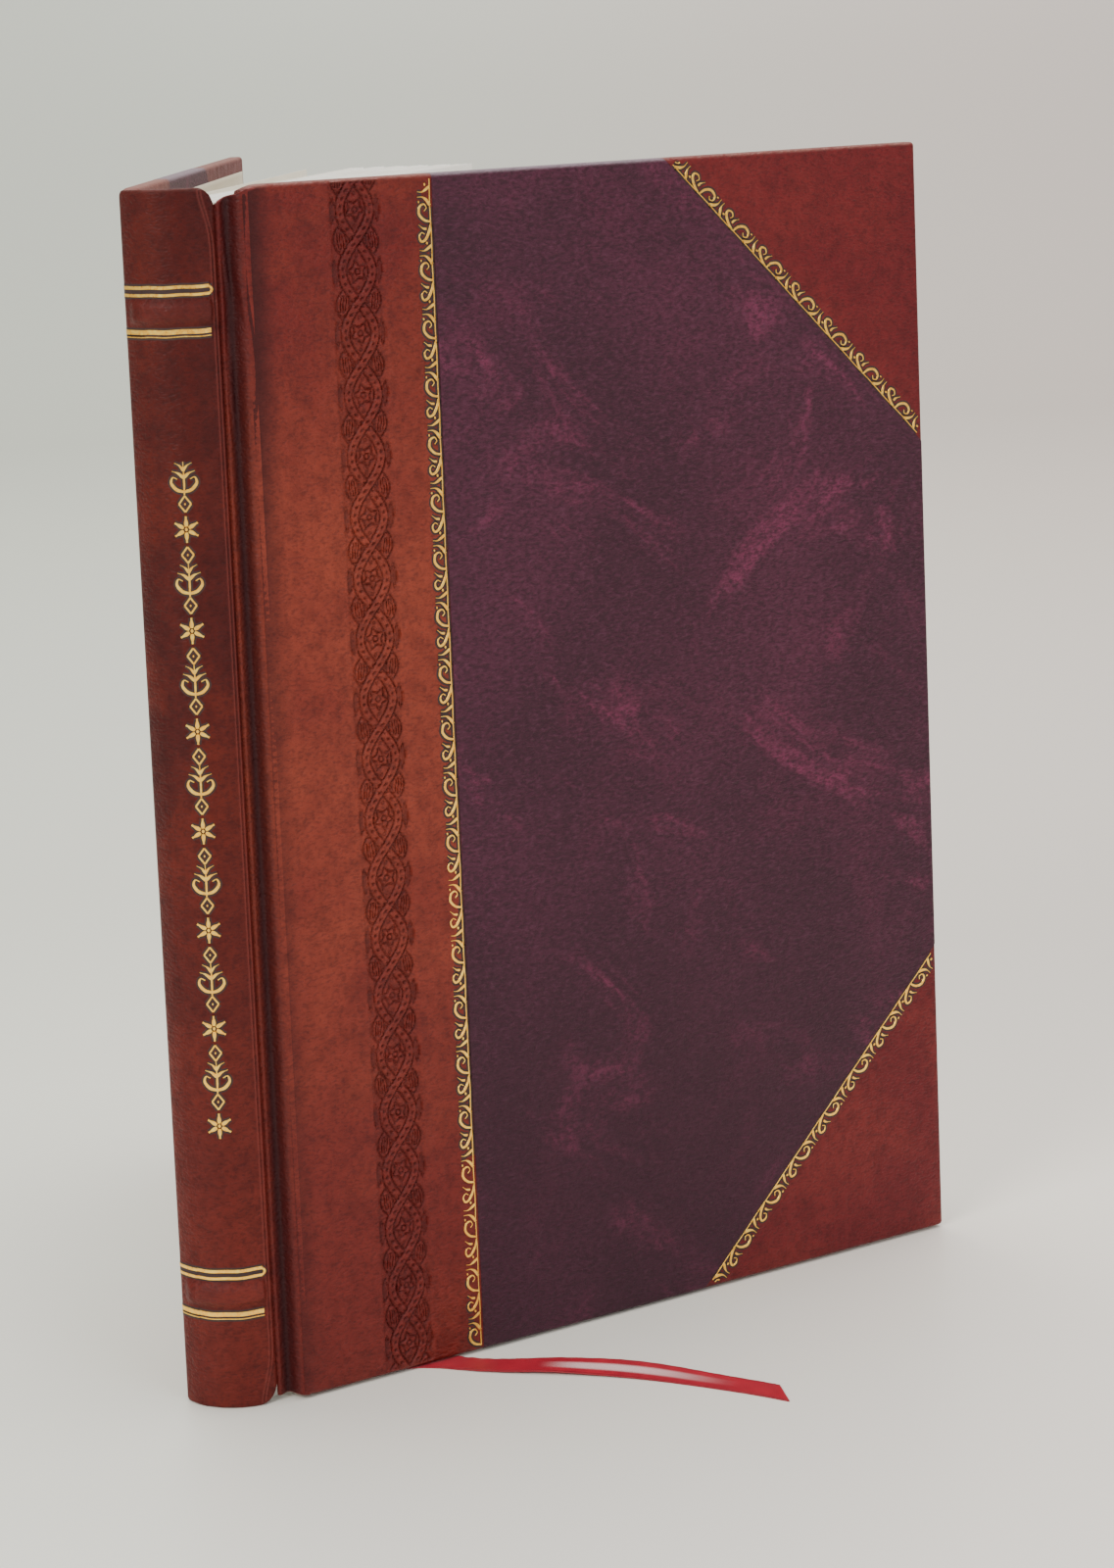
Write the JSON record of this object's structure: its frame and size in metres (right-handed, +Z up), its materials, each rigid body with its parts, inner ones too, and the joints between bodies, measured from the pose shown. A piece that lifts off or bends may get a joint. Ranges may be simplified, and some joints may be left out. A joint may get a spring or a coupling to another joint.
{
  "type": "prayer book",
  "caption": "Half-leather bound book standing ajar, with turning covers, fanning leaves, raised bands on its spine and a ribbon marker.",
  "frame": {"origin": "foot of the spine on the book's centre plane, in the plane of the tail edges that it stands on", "axes": "+Z up the spine from tail to head; -Y out of the spine; +X to the side of the front cover"},
  "size_m": [0.1412, 0.1529, 0.216],
  "materials": {
    "spine_leather": "dark red-brown fine-grain leather, satin",
    "cover_leather": "brick red-brown leather, satin, gilt and blind tooled",
    "cover_cloth": "marbled aubergine bookcloth with a fine pebble grain",
    "board_grey": "grey millboard, matte",
    "band_card": "card strip, matte",
    "lining_paper": "brown lining paper, matte",
    "mull": "open-weave cotton mull",
    "end_band_silk": "striped woven end band",
    "endpaper": "cream endpaper, matte",
    "leaf_paper": "cream book paper, matte",
    "ribbon_satin": "crimson satin ribbon, soft sheen",
    "gilt": "gold tooling, satin"
  },
  "bodies": {
    "spine": {"spine_leather": "spine_leather", "spine_stiffener": "board_grey", "raised_band_head": "band_card", "raised_band_tail": "band_card", "spine_lining_paper": "lining_paper", "spine_mull": "mull", "head_band": "end_band_silk", "tail_band": "end_band_silk"},
    "front_cover": {"front_board": "board_grey", "front_leather": "cover_leather", "front_cloth": "cover_cloth", "front_corner_head": "cover_leather", "front_corner_tail": "cover_leather", "front_pastedown": "endpaper", "ribbon_marker": "ribbon_satin"},
    "back_cover": {"back_board": "board_grey", "back_leather": "cover_leather", "back_cloth": "cover_cloth", "back_corner_head": "cover_leather", "back_corner_tail": "cover_leather", "back_pastedown": "endpaper"},
    "front_flyleaf": {"front_flyleaf": "endpaper"},
    "gathering_1": {"gathering_1": "leaf_paper"},
    "gathering_2": {"gathering_2": "leaf_paper"},
    "gathering_3": {"gathering_3": "leaf_paper"},
    "gathering_4": {"gathering_4": "leaf_paper"},
    "gathering_5": {"gathering_5": "leaf_paper"},
    "gathering_6": {"gathering_6": "leaf_paper"},
    "back_flyleaf": {"back_flyleaf": "endpaper"}
  },
  "joints": [
    {"name": "front_cover_hinge", "type": "hinge", "parent": "spine", "child": "front_cover", "pos_m": [0.0064, 0.0025, 0], "axis": [0, 0, 1], "range_deg": [-64, 56]},
    {"name": "back_cover_hinge", "type": "hinge", "parent": "spine", "child": "back_cover", "pos_m": [-0.0064, 0.0025, 0], "axis": [0, 0, 1], "range_deg": [0, 120]},
    {"name": "front_flyleaf_fold", "type": "hinge", "parent": "spine", "child": "front_flyleaf", "pos_m": [0.0052, 0.0041, 0], "axis": [0, 0, 1], "range_deg": [-56.01, 49.01]},
    {"name": "gathering_1_fold", "type": "hinge", "parent": "spine", "child": "gathering_1", "pos_m": [0.004, 0.0041, 0], "axis": [0, 0, 1], "range_deg": [-17.16, 15.02]},
    {"name": "gathering_2_fold", "type": "hinge", "parent": "spine", "child": "gathering_2", "pos_m": [0.0024, 0.0041, 0], "axis": [0, 0, 1], "range_deg": [-15.79, 13.82]},
    {"name": "gathering_3_fold", "type": "hinge", "parent": "spine", "child": "gathering_3", "pos_m": [0.0008, 0.0041, 0], "axis": [0, 0, 1], "range_deg": [-14.41, 12.61]},
    {"name": "gathering_4_fold", "type": "hinge", "parent": "spine", "child": "gathering_4", "pos_m": [-0.0008, 0.0041, 0], "axis": [0, 0, 1], "range_deg": [-13.04, 11.41]},
    {"name": "gathering_5_fold", "type": "hinge", "parent": "spine", "child": "gathering_5", "pos_m": [-0.0024, 0.0041, 0], "axis": [0, 0, 1], "range_deg": [-11.67, 10.21]},
    {"name": "gathering_6_fold", "type": "hinge", "parent": "spine", "child": "gathering_6", "pos_m": [-0.004, 0.0041, 0], "axis": [0, 0, 1], "range_deg": [-10.3, 9.01]},
    {"name": "back_flyleaf_fold", "type": "hinge", "parent": "spine", "child": "back_flyleaf", "pos_m": [-0.0052, 0.0041, 0], "axis": [0, 0, 1], "range_deg": [-5.73, 5.02]}
  ],
  "couplings": [
    {"joint": "front_flyleaf_fold", "follows": "front_cover_hinge", "ratio": 0.875},
    {"joint": "gathering_1_fold", "follows": "front_cover_hinge", "ratio": 0.26786},
    {"joint": "gathering_2_fold", "follows": "front_cover_hinge", "ratio": 0.24643},
    {"joint": "gathering_3_fold", "follows": "front_cover_hinge", "ratio": 0.225},
    {"joint": "gathering_4_fold", "follows": "front_cover_hinge", "ratio": 0.20357},
    {"joint": "gathering_5_fold", "follows": "front_cover_hinge", "ratio": 0.18214},
    {"joint": "gathering_6_fold", "follows": "front_cover_hinge", "ratio": 0.16071},
    {"joint": "back_flyleaf_fold", "follows": "front_cover_hinge", "ratio": 0.08929}
  ]
}
